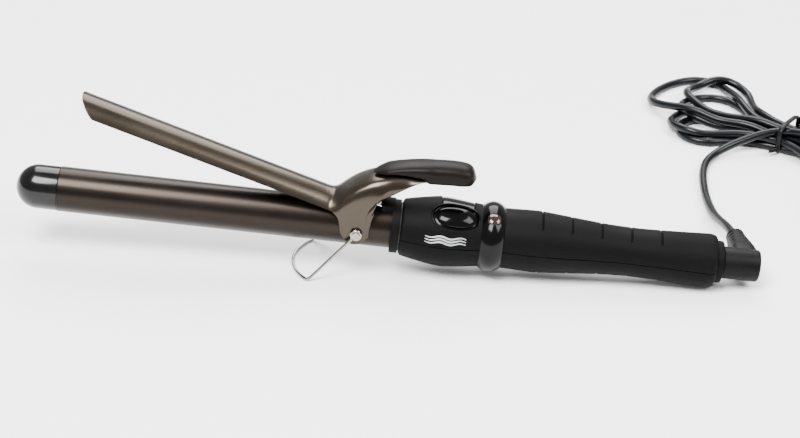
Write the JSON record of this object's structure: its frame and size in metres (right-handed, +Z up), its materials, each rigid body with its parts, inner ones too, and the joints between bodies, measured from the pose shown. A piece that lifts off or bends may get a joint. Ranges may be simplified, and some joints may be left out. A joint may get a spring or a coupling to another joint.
{
  "type": "hair curling iron",
  "caption": "Hair curling iron: heated barrel with sprung clamp and thumb rest, wire rest, rocker switch, waisted grip, swivel cord in a tied hank, and plug.",
  "frame": {"origin": "middle of the iron's own bounding box at the height of the table it rests on, without the cord", "axes": "+X from the tip towards the cord end, +Z up, -Y towards the side with the switch"},
  "size_m": [0.4628, 0.2523, 0.0849],
  "materials": {
    "barrel_coat": "satin ceramic coat",
    "cap_plastic": "gloss",
    "aluminium": "extruded",
    "ceramic": "sintered",
    "steatite": "glazed",
    "fuse_case": "drawn",
    "wire_sleeve": "sleeved",
    "zinc": "cast",
    "screw_steel": "turned",
    "spring_steel": "rolled",
    "handle_plastic": "soft touch",
    "inner_plastic": "moulded",
    "gloss_trim": "gloss",
    "lens": "smoked",
    "led": "clear",
    "board": "solder mask",
    "components": "moulded",
    "brass": "polished",
    "cord_pvc": "semi gloss",
    "tie": "moulded",
    "plug_pvc": "moulded",
    "pin_nickel": "nickel plate",
    "clamp_coat": "gloss metallic",
    "thumb_plastic": "satin",
    "chrome_wire": "polished",
    "swivel_plastic": "moulded"
  },
  "bodies": {
    "handle": {"barrel": "barrel_coat", "barrel_tip_cap": "cap_plastic", "heat_spreaders": "aluminium", "ptc_heater": "ceramic", "rear_insulator": "steatite", "thermal_fuse": "fuse_case", "heater_leads": "wire_sleeve", "pivot_block": "zinc", "pivot_screws": "screw_steel", "pivot_washers": "screw_steel", "clamp_spring": "spring_steel", "front_collar": "handle_plastic", "barrel_socket": "inner_plastic", "handle_upper_shell": "handle_plastic", "handle_lower_shell": "handle_plastic", "handle_screws": "screw_steel", "indicator_band": "gloss_trim", "indicator_lens": "lens", "indicator_led": "led", "circuit_board": "board", "board_parts": "components", "switch_bezel": "gloss_trim", "switch_body": "inner_plastic", "supply_wires": "wire_sleeve", "rear_ring": "handle_plastic", "contact_holder": "inner_plastic", "contact_springs": "brass", "cord_lead": "cord_pvc", "cord_hank": "cord_pvc", "cord_tie": "tie", "cord_tail": "cord_pvc", "plug_body": "plug_pvc", "plug_pins": "pin_nickel"},
    "clamp": {"clamp_blade": "clamp_coat", "thumb_rest": "thumb_plastic", "thumb_rest_screw": "screw_steel"},
    "rest": {"wire_rest": "chrome_wire"},
    "rocker": {"rocker_button": "gloss_trim"},
    "swivel": {"slip_rings": "brass", "swivel_spindle": "inner_plastic", "swivel_clip": "screw_steel", "swivel_boss": "swivel_plastic", "strain_relief": "swivel_plastic"}
  },
  "joints": [
    {"name": "clamp_hinge", "type": "hinge", "parent": "handle", "child": "clamp", "pos_m": [-0.01556, 0, 0.02359], "axis": [0, 1, 0], "range_deg": [-16.5, 11], "stiffness_Nm_per_rad": 0.3, "springref_deg": -34.38, "deforming": ["clamp_spring"]},
    {"name": "rest_hinge", "type": "hinge", "parent": "handle", "child": "rest", "pos_m": [-0.01556, 0, 0.02359], "axis": [0, 1, 0], "range_deg": [-30, 20]},
    {"name": "rocker_tilt", "type": "hinge", "parent": "handle", "child": "rocker", "pos_m": [0.0319, -0.00562, 0.02972], "axis": [0.032, 0.848, 0.5289], "range_deg": [-6, 6]},
    {"name": "cord_swivel", "type": "hinge", "parent": "handle", "child": "swivel", "pos_m": [0.17639, 0, 0.01196], "axis": [0.9982, 0, -0.0605], "continuous": true}
  ]
}
